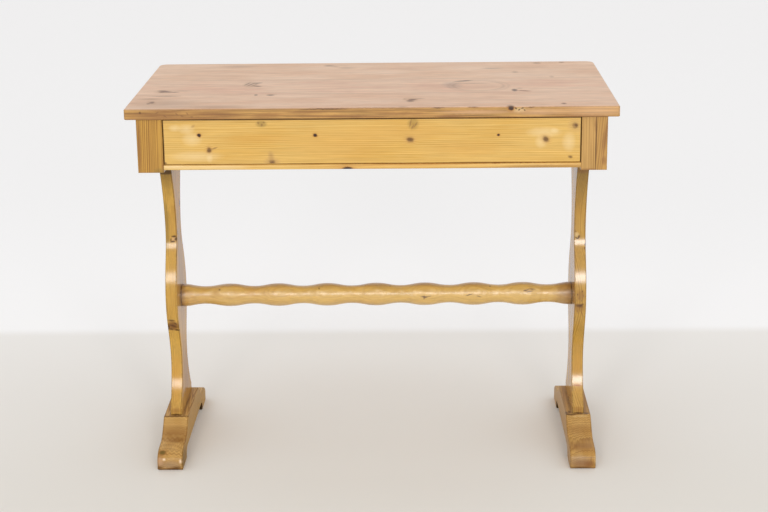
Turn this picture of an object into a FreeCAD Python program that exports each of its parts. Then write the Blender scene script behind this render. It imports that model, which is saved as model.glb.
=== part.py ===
# Pine stretcher table: a top of three boards, a case with one full-width drawer, two lyre-shaped end
# boards on sledge feet, and a wavy turned stretcher between them.
# Lengths are in millimetres. X runs to the right, Y to the back and Z up. The origin is on the floor,
# below the middle of the top.
import FreeCAD, Part
import math
import os

# Overall sizes
table_height = 762.0
top_length = 948.0
top_depth = 503.0
top_thickness = 21.0
side_overhang = 22.0
front_overhang = 4.0
case_depth = 467.0
case_height = 105.0

# Fits and eased edges that every piece shares
fit_gap = 0.1
cut_over = 5.0
ease_small = 0.8
ease_edge = 1.5

# Top
front_board_depth = 146.0
back_board_depth = 202.0
tongue_thickness = 7.0
tongue_length = 8.0
groove_spare = 1.0
top_front_corner = 5.0
top_rear_corner = 18.0
top_upper_ease = 3.0
top_lower_ease = 1.8

# Case
post_width = 50.0
post_depth = 40.0
side_apron_thickness = 22.0
back_apron_thickness = 22.0
apron_tenon_thickness = 8.0
apron_tenon_length = 15.0
apron_tenon_shoulder = 10.0
case_tail_count = 4
rail_lift = 4.5
rail_height = 10.7
rail_depth = 45.0
rail_setback = 0.6
rail_rounding = 4.2
rail_tenon_thickness = 6.0
rail_tenon_length = 12.0
rail_tenon_shoulder = 8.0
post_dowel_radius = 4.0
post_dowel_in_post = 25.0
post_dowel_in_top = 12.0

# Drawer runners, guides, kickers and stops
runner_width = 35.0
runner_tenon_thickness = 5.0
runner_tenon_length = 10.0
runner_tenon_shoulder = 5.0
runner_housing = 6.0
guide_height = 20.0
kicker_width = 32.0
kicker_thickness = 9.0
stop_length = 50.0
stop_depth = 22.0
stop_height = 5.0
stop_place_share = 0.62

# Drawer
drawer_side_play = 1.5
drawer_front_play = 1.5
drawer_slide_gap = 0.3
drawer_stop_gap = 0.3
drawer_front_thickness = 21.0
drawer_rear_space = 15.0
drawer_side_thickness = 12.0
drawer_side_height = 80.0
drawer_back_thickness = 12.0
drawer_bottom_thickness = 7.0
drawer_bottom_lift = 9.0
drawer_groove_depth = 5.0
drawer_tail_count = 3
drawer_front_lap = 7.0

# Dovetails
tail_root_share = 0.56
tail_slope_share = 0.15

# End boards
board_thickness = 24.0
board_inset = 16.3
head_half_width = 97.0
head_top_gap = 1.0
head_thickness = 18.3
board_widest = 98.0
board_tenon_count = 2
board_tenon_width = 40.0
board_tenon_thickness = 12.0
board_tenon_length = 36.0
board_tenon_pitch = 76.0

# Heights and half widths of an end board's outline from the top of its land to the case, as shares of
# the height between foot and case and of the widest half width
board_outline_shares = [
    (0.027, 0.820),
    (0.066, 0.658),
    (0.128, 0.485),
    (0.202, 0.408),
    (0.297, 0.541),
    (0.385, 0.735),
    (0.442, 0.776),
    (0.501, 0.730),
    (0.581, 0.551),
    (0.643, 0.378),
    (0.698, 0.327),
    (0.776, 0.378),
    (0.883, 0.582),
    (1.000, 1.000),
]

# Feet
foot_length = 402.0
foot_height = 73.0
foot_width = 52.5
foot_ease = 2.5
arch_height = 22.0
arch_corner = 16.0
pad_length = 64.0
toe_bottom_ease = 3.0
foot_peg_radius = 4.0
foot_peg_length = 40.0
foot_peg_drop = 18.0

# Points along the upper side of a foot from the flat's edge to the toe, as shares of its half length
# and height
foot_outline_shares = [
    (0.420, 1.000),
    (0.480, 0.880),
    (0.560, 0.712),
    (0.640, 0.590),
    (0.740, 0.540),
    (0.840, 0.523),
    (0.920, 0.488),
    (0.975, 0.400),
    (1.000, 0.240),
]

# Stretcher
stretcher_height = 314.2
stretcher_crest_radius = 24.0
stretcher_trough_radius = 18.6
wave_count = 8
stretcher_tenon_radius = 12.0
wedge_length = 16.0
wedge_thick_end = 3.0
wedge_thin_end = 1.0

# Blocks, screws and nails
corner_block_leg = 17.0
corner_block_height = 90.0
glue_block_leg = 20.0
glue_block_length = 60.0
glue_block_count = 3
screw_head_radius = 4.2
screw_head_height = 2.8
screw_shank_radius = 2.1
screw_point_length = 6.3
screw_slot_width = 1.0
screw_slot_depth = 1.1
kicker_screw_length = 24.0
kicker_screw_shares = (0.15, 0.5, 0.85)
head_screw_length = 34.0
head_screw_drop = 24.0
head_screw_pitch = 28.0
head_screw_place_share = 0.62
nail_radius = 1.0
nail_head_radius = 2.3
nail_head_thickness = 0.8
nail_length = 28.0
nail_count = 5

# Places worked out from the sizes above
top_front = -top_depth / 2
top_under = table_height - top_thickness
case_half = top_length / 2 - side_overhang
case_front = top_front + front_overhang
case_rear = case_front + case_depth
case_middle = (case_front + case_rear) / 2
case_low = top_under - case_height
opening_half = case_half - post_width
post_rear = case_front + post_depth
apron_inside = case_half - side_apron_thickness
back_inside = case_rear - back_apron_thickness
rail_low = case_low + rail_lift
rail_top = rail_low + rail_height
rail_front = case_front + rail_setback
rail_rear = rail_front + rail_depth
board_outside = case_half - board_inset
board_inside = board_outside - board_thickness
board_middle = (board_inside + board_outside) / 2
drawer_half = opening_half - drawer_side_play
drawer_inside = drawer_half - drawer_side_thickness
drawer_low = rail_top + drawer_slide_gap
drawer_side_top = drawer_low + drawer_side_height
drawer_front_rear = case_front + drawer_front_thickness
drawer_rear = back_inside - drawer_rear_space
drawer_back_front = drawer_rear - drawer_back_thickness
bottom_low = drawer_low + drawer_bottom_lift
bottom_top = bottom_low + drawer_bottom_thickness
kicker_low = top_under - kicker_thickness

parts = {}


def vec(x, y, z):
    return FreeCAD.Vector(x, y, z)


def block(x0, x1, y0, y1, z0, z1):
    """A square-edged block between the given planes."""
    return Part.makeBox(x1 - x0, y1 - y0, z1 - z0, vec(x0, y0, z0))


def prism(points, travel):
    """A flat polygon carried along a vector."""
    return Part.Face(Part.makePolygon(points + points[:1])).extrude(travel)


def mirrored(shape):
    """The same shape on the other side of the middle of the table."""
    return shape.mirror(vec(0, 0, 0), vec(1, 0, 0))


def joined(shapes):
    """Several shapes that touch or overlap, as one solid."""
    return shapes[0].fuse(shapes[1:]).removeSplitter()


def without(shape, cutters):
    """A shape with all the cutters taken out of it."""
    return shape.cut(cutters)


def eased(shape, radius, wanted):
    """A shape with the edges that pass the test rounded over."""
    edges = [edge for edge in shape.Edges if wanted(edge.BoundBox)]
    return shape.makeFillet(radius, edges)


def keep(name, shape):
    parts[name] = shape


def tails(x0, x1, y_root, y_tip, z0, z1, count, grow):
    """A row of dovetails in a board that lies across X, from its root to its tip along Y."""
    out = 1 if y_tip > y_root else -1
    pitch = (z1 - z0) / count
    spread = abs(y_tip - y_root) * tail_slope_share
    row = []
    for index in range(count):
        middle = z0 + pitch * (index + 0.5)
        root = pitch * tail_root_share / 2 + grow
        tip = root + spread
        row.append(prism([
            vec(x0 - grow, y_root, middle - root),
            vec(x0 - grow, y_tip + out * grow, middle - tip),
            vec(x0 - grow, y_tip + out * grow, middle + tip),
            vec(x0 - grow, y_root, middle + root),
        ], vec(x1 - x0 + 2 * grow, 0, 0)))
    return row


def wood_screw(length, grow):
    """A slotted countersunk wood screw that points up, with its head's flat face at the origin."""
    profile = [
        vec(0, 0, 0),
        vec(screw_head_radius + grow, 0, 0),
        vec(screw_shank_radius + grow, 0, screw_head_height),
        vec(screw_shank_radius + grow, 0, length - screw_point_length),
        vec(0, 0, length + grow),
    ]
    face = Part.Face(Part.makePolygon(profile + profile[:1]))
    screw = face.revolve(vec(0, 0, 0), vec(0, 0, 1), 360)
    if grow > 0:
        return screw
    slot = block(-screw_head_radius, screw_head_radius, -screw_slot_width / 2, screw_slot_width / 2,
                 -cut_over, screw_slot_depth)
    return screw.cut(slot)


def nail(grow):
    """A round nail that points up, with the underside of its head at the origin."""
    head = Part.makeCylinder(nail_head_radius + grow, nail_head_thickness, vec(0, 0, -nail_head_thickness))
    shank = Part.makeCylinder(nail_radius + grow, nail_length + grow, vec(0, 0, 0))
    return joined([head, shank])


def placed(shape, x, y, z, about=None, angle=0):
    """A copy of a shape turned about an axis through the origin and then moved."""
    copy = shape.copy()
    if about is not None:
        copy.rotate(vec(0, 0, 0), about, angle)
    copy.translate(vec(x, y, z))
    return copy


def kicker_screws(grow):
    """Three screws up through each kicker into the top."""
    middle = board_inside - kicker_width / 2
    span = back_inside - post_rear
    one_side = [placed(wood_screw(kicker_screw_length, grow), middle, post_rear + span * share, kicker_low)
                for share in kicker_screw_shares]
    return one_side + [mirrored(screw) for screw in one_side]


def head_screws(grow):
    """Four screws through each end board's head into the side apron."""
    one_side = []
    for side in (-1, 1):
        for row in (0, 1):
            height = kicker_low - head_screw_drop - row * head_screw_pitch
            one_side.append(placed(wood_screw(head_screw_length, grow), board_inside,
                                   case_middle + side * head_half_width * head_screw_place_share, height,
                                   vec(0, 1, 0), 90))
    return one_side + [mirrored(screw) for screw in one_side]


def post_dowels(grow):
    """One dowel up from each front post into the top."""
    length = post_dowel_in_post + post_dowel_in_top + 2 * grow
    base = vec(opening_half + (apron_inside - opening_half) / 2, (case_front + post_rear) / 2,
               top_under - post_dowel_in_post - grow)
    dowel = Part.makeCylinder(post_dowel_radius + grow, length, base)
    return [dowel, mirrored(dowel)]


def drawer_nails(grow):
    """A row of nails up through the drawer's bottom into its back."""
    pitch = 2 * drawer_inside / nail_count
    row = []
    for index in range(nail_count):
        x = -drawer_inside + pitch * (index + 0.5)
        row.append(placed(nail(grow), x, drawer_rear - drawer_back_thickness / 2, bottom_low))
    return row


def add_top():
    """Three boards with tongues and grooves, cut from one rounded slab so that their edges line up."""
    slab = block(-top_length / 2, top_length / 2, top_front, -top_front, top_under, table_height)
    slab = eased(slab, top_rear_corner, lambda b: b.ZLength > top_thickness / 2 and b.YMin > 0)
    slab = eased(slab, top_front_corner, lambda b: b.ZLength > top_thickness / 2 and b.YMax < 0 and
                 abs(b.XMin) > top_length / 2 - ease_small)
    slab = eased(slab, top_upper_ease, lambda b: b.ZMin > table_height - ease_small)
    slab = eased(slab, top_lower_ease, lambda b: b.ZMax < top_under + ease_small)
    slab = without(slab, kicker_screws(fit_gap) + post_dowels(fit_gap))
    seams = [top_front + front_board_depth, -top_front - back_board_depth]
    middle = (table_height + top_under) / 2
    half = tongue_thickness / 2
    limits = [top_front - cut_over] + seams + [-top_front + cut_over]
    for index, name in enumerate(("top_board_front", "top_board_middle", "top_board_back")):
        low, high = limits[index], limits[index + 1]
        reach = block(-top_length, top_length, low, high, top_under - cut_over, table_height + cut_over)
        if index < 2:
            tongue = block(-top_length, top_length, high - cut_over, high + tongue_length,
                           middle - half, middle + half)
            reach = joined([reach, tongue])
        if index > 0:
            groove = block(-top_length, top_length, low - cut_over, low + tongue_length + groove_spare,
                           middle - half - fit_gap, middle + half + fit_gap)
            reach = without(reach, [groove])
        keep(name, slab.common(reach))


def apron_tenon(grow):
    """The stub tenon at the front end of the right side apron."""
    middle = (apron_inside + case_half) / 2
    half = apron_tenon_thickness / 2 + grow
    return block(middle - half, middle + half, post_rear - apron_tenon_length - grow, post_rear + grow,
                 case_low + apron_tenon_shoulder - grow, top_under - apron_tenon_shoulder + grow)


def rail_tenon(grow):
    """The stub tenon at the right end of the drawer rail."""
    middle = (rail_low + rail_top) / 2
    half = rail_tenon_thickness / 2 + grow
    return block(opening_half - grow, opening_half + rail_tenon_length + grow,
                 rail_front + rail_tenon_shoulder - grow, post_rear - rail_tenon_shoulder + grow,
                 middle - half, middle + half)


def runner_tenon(grow):
    """The stub tenon at the front end of the right drawer runner."""
    middle = (rail_low + rail_top) / 2
    half = runner_tenon_thickness / 2 + grow
    return block(board_inside - runner_width + runner_tenon_shoulder - grow,
                 opening_half - runner_tenon_shoulder + grow,
                 rail_rear - runner_tenon_length - grow, rail_rear + grow, middle - half, middle + half)


def runner_body(grow):
    """The right drawer runner, let into the back apron."""
    return block(board_inside - runner_width - grow, board_inside + grow, rail_rear,
                 back_inside + runner_housing + grow, rail_low - grow, rail_top + grow)


def add_posts():
    """The left post is one block. The right one is a post with a corner lath glued outside it."""
    whole = block(opening_half, case_half, case_front, post_rear, case_low, top_under)
    whole = eased(whole, ease_edge, lambda b: b.YMax < case_front + ease_small and
                  b.ZMin < top_under - ease_edge)
    whole = without(whole, [apron_tenon(fit_gap), rail_tenon(fit_gap)] + post_dowels(fit_gap))
    seam = block(opening_half - cut_over, apron_inside, case_front - cut_over, post_rear + cut_over,
                 case_low - cut_over, top_under + cut_over)
    keep("front_post_left", mirrored(whole))
    keep("front_post_right", whole.common(seam))
    keep("corner_lath_right", whole.cut(seam))


def add_aprons():
    """Side aprons with a stub tenon in front and dovetails behind, and a back apron between them."""
    side = block(apron_inside, case_half, post_rear, back_inside, case_low, top_under)
    row = tails(apron_inside, case_half, back_inside, case_rear, case_low, top_under, case_tail_count, 0)
    side = joined([side, apron_tenon(0)] + row)
    side = without(side, head_screws(fit_gap))
    keep("side_apron_right", side)
    keep("side_apron_left", mirrored(side))
    sockets = tails(apron_inside, case_half, back_inside, case_rear, case_low, top_under, case_tail_count,
                    fit_gap)
    sockets.append(runner_body(fit_gap))
    back = block(-case_half, case_half, back_inside, case_rear, case_low, top_under)
    keep("back_apron", without(back, sockets + [mirrored(socket) for socket in sockets]))


def add_drawer_ways():
    """The rail below the drawer, and the runners, guides, kickers and stops that lead it."""
    rail = block(-opening_half, opening_half, rail_front, rail_rear, rail_low, rail_top)
    rail = eased(rail, rail_rounding, lambda b: b.YMax < rail_front + ease_small and
                 b.XLength > opening_half)
    rail = joined([rail, rail_tenon(0), mirrored(rail_tenon(0))])
    keep("drawer_rail", without(rail, [runner_tenon(fit_gap), mirrored(runner_tenon(fit_gap))]))
    runner = joined([runner_body(0), runner_tenon(0)])
    guide = block(opening_half, board_inside, post_rear, back_inside, rail_top, rail_top + guide_height)
    kicker = block(board_inside - kicker_width, board_inside, post_rear, back_inside, kicker_low, top_under)
    kicker = without(kicker, kicker_screws(fit_gap))
    for name, shape in (("drawer_runner", runner), ("drawer_guide", guide), ("drawer_kicker", kicker)):
        keep(name + "_right", shape)
        keep(name + "_left", mirrored(shape))
    middle = opening_half * stop_place_share
    stop_front = drawer_front_rear + drawer_stop_gap
    stop = block(middle - stop_length / 2, middle + stop_length / 2, stop_front, stop_front + stop_depth,
                 rail_top, rail_top + stop_height)
    stop = eased(stop, ease_edge, lambda b: b.ZMin > rail_top + stop_height - ease_small)
    keep("drawer_stops", Part.makeCompound([stop, mirrored(stop)]))


def side_front_tails(grow):
    """The tails at the front of the right drawer side, which stop short of the drawer's face."""
    return tails(drawer_inside, drawer_half, drawer_front_rear, case_front + drawer_front_lap,
                 drawer_low + drawer_front_play, drawer_side_top, drawer_tail_count, grow)


def side_rear_tails(grow):
    """The tails at the rear of the right drawer side, which go right through the drawer's back."""
    return tails(drawer_inside, drawer_half, drawer_back_front, drawer_rear, bottom_top, drawer_side_top,
                 drawer_tail_count, grow)


def drawer_bottom_shape(grow):
    """The drawer's bottom, which runs in grooves in the sides and front and below the back."""
    reach = drawer_inside + drawer_groove_depth + grow
    return block(-reach, reach, drawer_front_rear - drawer_groove_depth - grow, drawer_rear + grow,
                 bottom_low - grow, bottom_top + grow)


def add_drawer():
    """A dovetailed drawer whose front is flush between the posts."""
    groove = drawer_bottom_shape(fit_gap)
    front = block(-drawer_half, drawer_half, case_front, drawer_front_rear, rail_top + drawer_front_play,
                  top_under - drawer_front_play)
    front = eased(front, ease_small, lambda b: b.YMax < case_front + ease_small)
    sockets = side_front_tails(fit_gap)
    keep("drawer_front", without(front, sockets + [mirrored(socket) for socket in sockets] + [groove]))
    side = block(drawer_inside, drawer_half, drawer_front_rear, drawer_rear, drawer_low, drawer_side_top)
    back_place = block(drawer_inside - cut_over, drawer_half + cut_over, drawer_back_front,
                       drawer_rear + cut_over, bottom_top, drawer_side_top + cut_over)
    side = joined([without(side, [back_place])] + side_front_tails(0) + side_rear_tails(0))
    side = without(side, [groove])
    keep("drawer_side_right", side)
    keep("drawer_side_left", mirrored(side))
    sockets = side_rear_tails(fit_gap)
    back = block(-drawer_half, drawer_half, drawer_back_front, drawer_rear, bottom_top, drawer_side_top)
    back = without(back, sockets + [mirrored(socket) for socket in sockets] + drawer_nails(fit_gap))
    keep("drawer_back", back)
    keep("drawer_bottom", without(drawer_bottom_shape(0), drawer_nails(fit_gap)))
    keep("drawer_bottom_nails", Part.makeCompound(drawer_nails(0)))


def board_tenons(grow):
    """The tenons under the right end board, in its foot."""
    middle = board_middle
    half = board_tenon_thickness / 2 + grow
    row = []
    for index in range(board_tenon_count):
        y = case_middle + board_tenon_pitch * (index - (board_tenon_count - 1) / 2)
        row.append(block(middle - half, middle + half, y - board_tenon_width / 2 - grow,
                         y + board_tenon_width / 2 + grow, foot_height - board_tenon_length - grow,
                         foot_height + grow))
    return row


def foot_pegs(grow):
    """Pegs from outside across the tenons in the right foot."""
    outside = board_middle + foot_width / 2
    row = []
    for index in range(board_tenon_count):
        y = case_middle + board_tenon_pitch * (index - (board_tenon_count - 1) / 2)
        base = vec(outside, y, foot_height - foot_peg_drop)
        row.append(Part.makeCylinder(foot_peg_radius + grow, foot_peg_length + grow, base, vec(-1, 0, 0)))
    return row


def board_outline():
    """The closed outline of an end board between foot and case, with the same curve on both edges."""
    height = case_low - foot_height
    points = [(foot_height + up * height, wide * board_widest) for up, wide in board_outline_shares]
    land = points[0][1]
    sides = []
    for side in (-1, 1):
        curve = Part.BSplineCurve()
        curve.interpolate([vec(board_inside, case_middle + side * half, up) for up, half in points])
        foot_corner = vec(board_inside, case_middle + side * land, foot_height)
        sides.append([Part.makeLine(foot_corner, curve.StartPoint), curve.toShape()])
    bottom = Part.makeLine(sides[0][0].Vertexes[0].Point, sides[1][0].Vertexes[0].Point)
    top = Part.makeLine(vec(board_inside, case_middle - points[-1][1], case_low),
                        vec(board_inside, case_middle + points[-1][1], case_low))
    return Part.Wire(Part.__sortEdges__([bottom, top] + sides[0] + sides[1]))


def tenon_bore(grow):
    """The round tenon at the right end of the stretcher, as long as the end board is thick."""
    base = vec(board_inside - grow, case_middle, stretcher_height)
    return Part.makeCylinder(stretcher_tenon_radius + grow, board_thickness + 2 * grow, base, vec(1, 0, 0))


def wedge_shape():
    """The wedge in the outer end of the right tenon, wide across the board's grain."""
    thin = wedge_thin_end / 2
    thick = wedge_thick_end / 2
    wedge = prism([
        vec(board_outside, case_middle - stretcher_tenon_radius, stretcher_height - thick),
        vec(board_outside, case_middle - stretcher_tenon_radius, stretcher_height + thick),
        vec(board_outside - wedge_length, case_middle - stretcher_tenon_radius, stretcher_height + thin),
        vec(board_outside - wedge_length, case_middle - stretcher_tenon_radius, stretcher_height - thin),
    ], vec(0, 2 * stretcher_tenon_radius, 0))
    return wedge.common(tenon_bore(0))


def add_end_boards():
    """Lyre-shaped boards. A thinner head goes up inside the side apron, which sits on its shoulder."""
    plate = Part.Face(board_outline()).extrude(vec(board_thickness, 0, 0))
    plate = eased(plate, ease_edge, lambda b: b.XLength < ease_small and b.ZLength > board_widest)
    head = block(board_inside, board_inside + head_thickness, case_middle - head_half_width,
                 case_middle + head_half_width, case_low, top_under - head_top_gap)
    board = joined([plate, head] + board_tenons(0))
    board = without(board, [tenon_bore(fit_gap)] + head_screws(fit_gap) + foot_pegs(fit_gap))
    keep("end_board_right", board)
    keep("end_board_left", mirrored(board))


def foot_outline():
    """The closed side view of a foot: flat middle, coves, rounded toes and an arch underneath."""
    half = foot_length / 2
    inner = half - pad_length
    x = board_middle - foot_width / 2
    edges = []

    def at(side, along, up):
        return vec(x, case_middle + side * along, up)

    for side in (-1, 1):
        upper = [at(side, along * half, up * foot_height) for along, up in foot_outline_shares]
        curve = Part.BSplineCurve()
        end_rise = foot_height * (foot_outline_shares[-2][1] - foot_outline_shares[-1][1])
        curve.interpolate(Points=upper, InitialTangent=upper[1] - upper[0],
                          FinalTangent=vec(0, 0, -end_rise))
        corner = half - toe_bottom_ease
        slant = math.sqrt(0.5)
        toe = Part.Arc(at(side, half, toe_bottom_ease),
                       at(side, corner + toe_bottom_ease * slant, toe_bottom_ease * (1 - slant)),
                       at(side, corner, 0))
        arch = Part.Arc(at(side, inner, arch_height - arch_corner),
                        at(side, inner - arch_corner * (1 - slant), arch_height - arch_corner * (1 - slant)),
                        at(side, inner - arch_corner, arch_height))
        edges += [curve.toShape(), Part.makeLine(upper[-1], at(side, half, toe_bottom_ease)), toe.toShape(),
                  Part.makeLine(at(side, corner, 0), at(side, inner, 0)),
                  Part.makeLine(at(side, inner, 0), at(side, inner, arch_height - arch_corner)),
                  arch.toShape()]
    flat = foot_outline_shares[0][0] * half
    edges.append(Part.makeLine(at(-1, flat, foot_height), at(1, flat, foot_height)))
    span = inner - arch_corner
    edges.append(Part.makeLine(at(-1, span, arch_height), at(1, span, arch_height)))
    return Part.Wire(Part.__sortEdges__(edges))


def add_feet():
    """Sledge feet, mortised for the end boards' tenons and pegged from outside."""
    foot = Part.Face(foot_outline()).extrude(vec(foot_width, 0, 0))
    foot = eased(foot, foot_ease, lambda b: b.XLength < ease_small and b.ZMax > foot_height / 2)
    foot = without(foot, board_tenons(fit_gap) + foot_pegs(fit_gap))
    keep("foot_right", foot)
    keep("foot_left", mirrored(foot))
    pegs = foot_pegs(0)
    keep("foot_pegs", Part.makeCompound(pegs + [mirrored(peg) for peg in pegs]))


def add_stretcher():
    """A turned rail whose outline is a row of equal arcs, crest, trough and crest, with round tenons."""
    pitch = 2 * board_inside / wave_count
    quarter = pitch / 4
    swing = (stretcher_crest_radius - stretcher_trough_radius) / 2
    bend = (quarter ** 2 + swing ** 2) / (2 * swing)
    half_turn = math.asin(quarter / bend) / 2

    def at(x, radius):
        return vec(x, case_middle, stretcher_height + radius)

    def quarter_wave(x, radius, way, rise):
        side = bend * math.sin(half_turn) * way
        drop = bend * (1 - math.cos(half_turn)) * rise
        middle = stretcher_crest_radius - swing
        return Part.Arc(at(x, radius), at(x + side, radius + drop), at(x + quarter * way, middle)).toShape()

    edges = []
    for index in range(wave_count):
        crest = -board_inside + pitch * index
        edges.append(quarter_wave(crest, stretcher_crest_radius, 1, -1))
        edges.append(quarter_wave(crest + pitch / 2, stretcher_trough_radius, -1, 1))
        edges.append(quarter_wave(crest + pitch / 2, stretcher_trough_radius, 1, 1))
        edges.append(quarter_wave(crest + pitch, stretcher_crest_radius, -1, -1))
    for side in (-1, 1):
        edges.append(Part.makeLine(at(side * board_inside, stretcher_crest_radius),
                                   at(side * board_inside, stretcher_tenon_radius)))
        edges.append(Part.makeLine(at(side * board_inside, stretcher_tenon_radius),
                                   at(side * board_outside, stretcher_tenon_radius)))
        edges.append(Part.makeLine(at(side * board_outside, stretcher_tenon_radius),
                                   at(side * board_outside, 0)))
    edges.append(Part.makeLine(at(-board_outside, 0), at(board_outside, 0)))
    face = Part.Face(Part.Wire(Part.__sortEdges__(edges)))
    rail = face.revolve(at(0, 0), vec(1, 0, 0), 360)
    wedges = [wedge_shape(), mirrored(wedge_shape())]
    keep("stretcher", without(rail, wedges))
    keep("stretcher_wedges", Part.makeCompound(wedges))


def add_blocks():
    """Corner blocks between side and back aprons, and glue blocks between back apron and top."""
    low = case_low + (case_height - corner_block_height) / 2
    corner = prism([
        vec(apron_inside, back_inside, low),
        vec(apron_inside - corner_block_leg, back_inside, low),
        vec(apron_inside, back_inside - corner_block_leg, low),
    ], vec(0, 0, corner_block_height))
    keep("corner_blocks", Part.makeCompound([corner, mirrored(corner)]))
    blocks = []
    pitch = 2 * (board_inside - kicker_width) / glue_block_count
    for index in range(glue_block_count):
        middle = pitch * (index - (glue_block_count - 1) / 2)
        start = middle - glue_block_length / 2
        blocks.append(prism([
            vec(start, back_inside, top_under),
            vec(start, back_inside - glue_block_leg, top_under),
            vec(start, back_inside, top_under - glue_block_leg),
        ], vec(glue_block_length, 0, 0)))
    keep("top_glue_blocks", Part.makeCompound(blocks))


def add_fasteners():
    """Dowels and screws, each group in one node."""
    keep("post_dowels", Part.makeCompound(post_dowels(0)))
    keep("kicker_screws", Part.makeCompound(kicker_screws(0)))
    keep("end_board_screws", Part.makeCompound(head_screws(0)))


add_top()
add_posts()
add_aprons()
add_drawer_ways()
add_drawer()
add_end_boards()
add_feet()
add_stretcher()
add_blocks()
add_fasteners()

os.makedirs("parts", exist_ok=True)
for name, shape in parts.items():
    shape.exportStep("parts/" + name + ".step")
    print(name, "solids", len(shape.Solids), "valid", shape.isValid(), "volume", round(shape.Volume))
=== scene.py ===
# Old pine side table: waxed top, one wide drawer, lyre-shaped end boards on sledge feet, a wavy turned stretcher.
import math

import bpy
import numpy as np
from mathutils import Matrix, Vector


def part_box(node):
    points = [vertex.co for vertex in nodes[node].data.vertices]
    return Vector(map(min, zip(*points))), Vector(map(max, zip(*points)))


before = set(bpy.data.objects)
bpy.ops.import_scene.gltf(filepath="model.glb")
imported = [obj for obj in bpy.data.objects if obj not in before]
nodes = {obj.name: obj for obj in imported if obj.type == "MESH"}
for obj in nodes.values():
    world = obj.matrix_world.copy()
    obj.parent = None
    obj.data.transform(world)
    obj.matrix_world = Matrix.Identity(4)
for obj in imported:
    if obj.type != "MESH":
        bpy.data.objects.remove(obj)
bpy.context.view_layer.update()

print("frame loaded,", len(nodes), "nodes")


def linear(code, alpha=1.0):
    # sRGB hex colour to linear: c / 12.92 below 0.04045, and ((c + 0.055) / 1.055) to the power 2.4 above it
    parts = [int(code[i:i + 2], 16) / 255 for i in (1, 3, 5)]
    return tuple(c / 12.92 if c <= 0.04045 else ((c + 0.055) / 1.055) ** 2.4 for c in parts) + (alpha,)


def addNode(tree, kind, settings, out=0):
    # Adds one node with its settings: a name of a field sets the field, anything else is one of its inputs,
    # which takes a value or another node's socket. Gives back the output that the next node reads.
    node = tree.nodes.new("ShaderNode" + kind)
    for key, value in settings.items():
        if isinstance(key, str) and hasattr(node, key):
            setattr(node, key, value)
        elif isinstance(value, bpy.types.NodeSocket):
            tree.links.new(value, node.inputs[key])
        else:
            node.inputs[key].default_value = value
    return node.outputs[out]


def mm(*values):
    # millimetres to Blender's metres
    return tuple(v / 1000 for v in values)


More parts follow.
